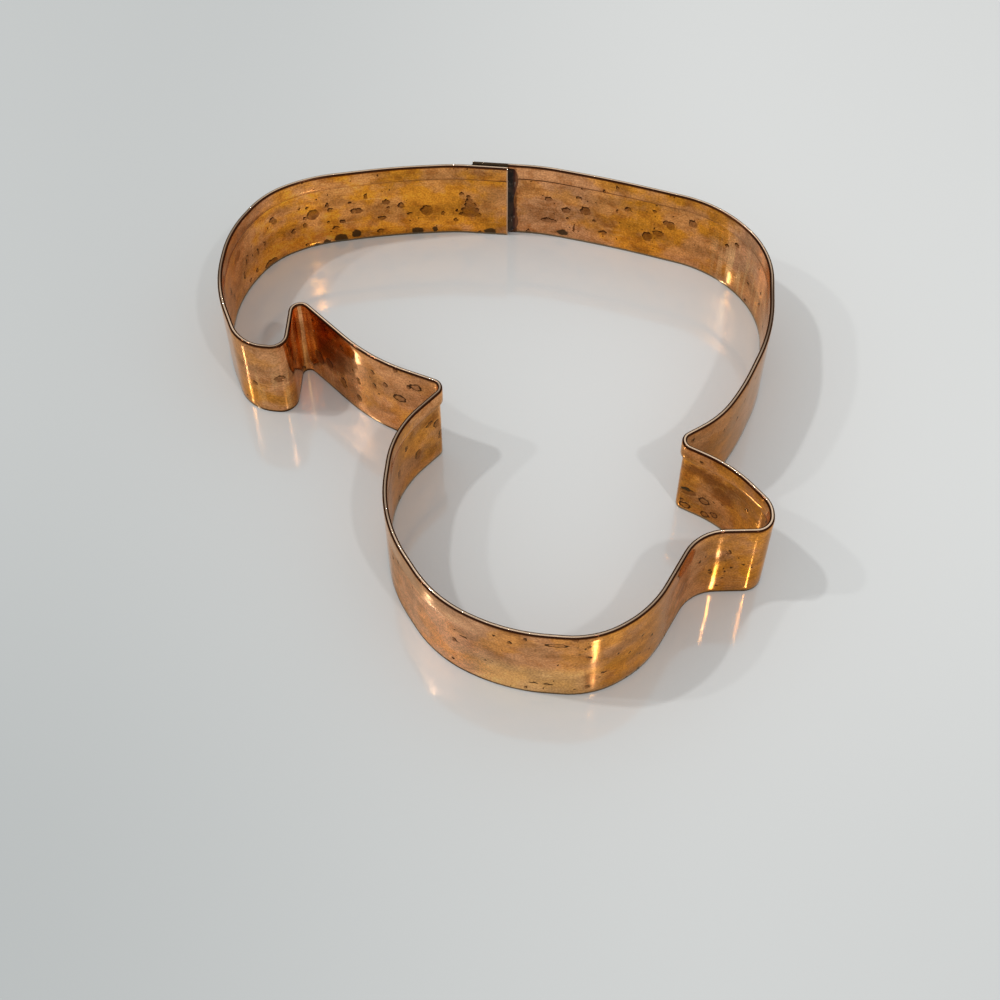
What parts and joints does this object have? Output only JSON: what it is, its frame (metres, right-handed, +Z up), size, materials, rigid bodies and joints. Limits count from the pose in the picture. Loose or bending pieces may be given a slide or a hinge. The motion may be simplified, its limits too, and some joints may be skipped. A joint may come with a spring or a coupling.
{
  "type": "cookie cutter",
  "caption": "Duck-shaped cookie cutter bent from a hemmed copper strip, with a rolled rim to press on, a plain lower edge that cuts the dough and a soldered lap at the base.",
  "frame": {"origin": "middle of the outline's bounding box, on the plane of the cutting edge", "axes": "+Z up from the cutting edge to the rolled rim, -Y towards the duck's head, +Y towards its base and the seam, -X towards its tail, +X towards its beak and chest"},
  "size_m": [0.1386, 0.1414, 0.0254],
  "materials": {
    "aged_copper": "glossy copper with an orange to pinkish-brown patina, water marks and fine pits",
    "dark_solder": "dull dark grey-brown solder with flux stain"
  },
  "bodies": {
    "root": {"copper_band": "aged_copper", "lap_solder": "dark_solder", "seam_bead": "dark_solder"}
  },
  "joints": []
}
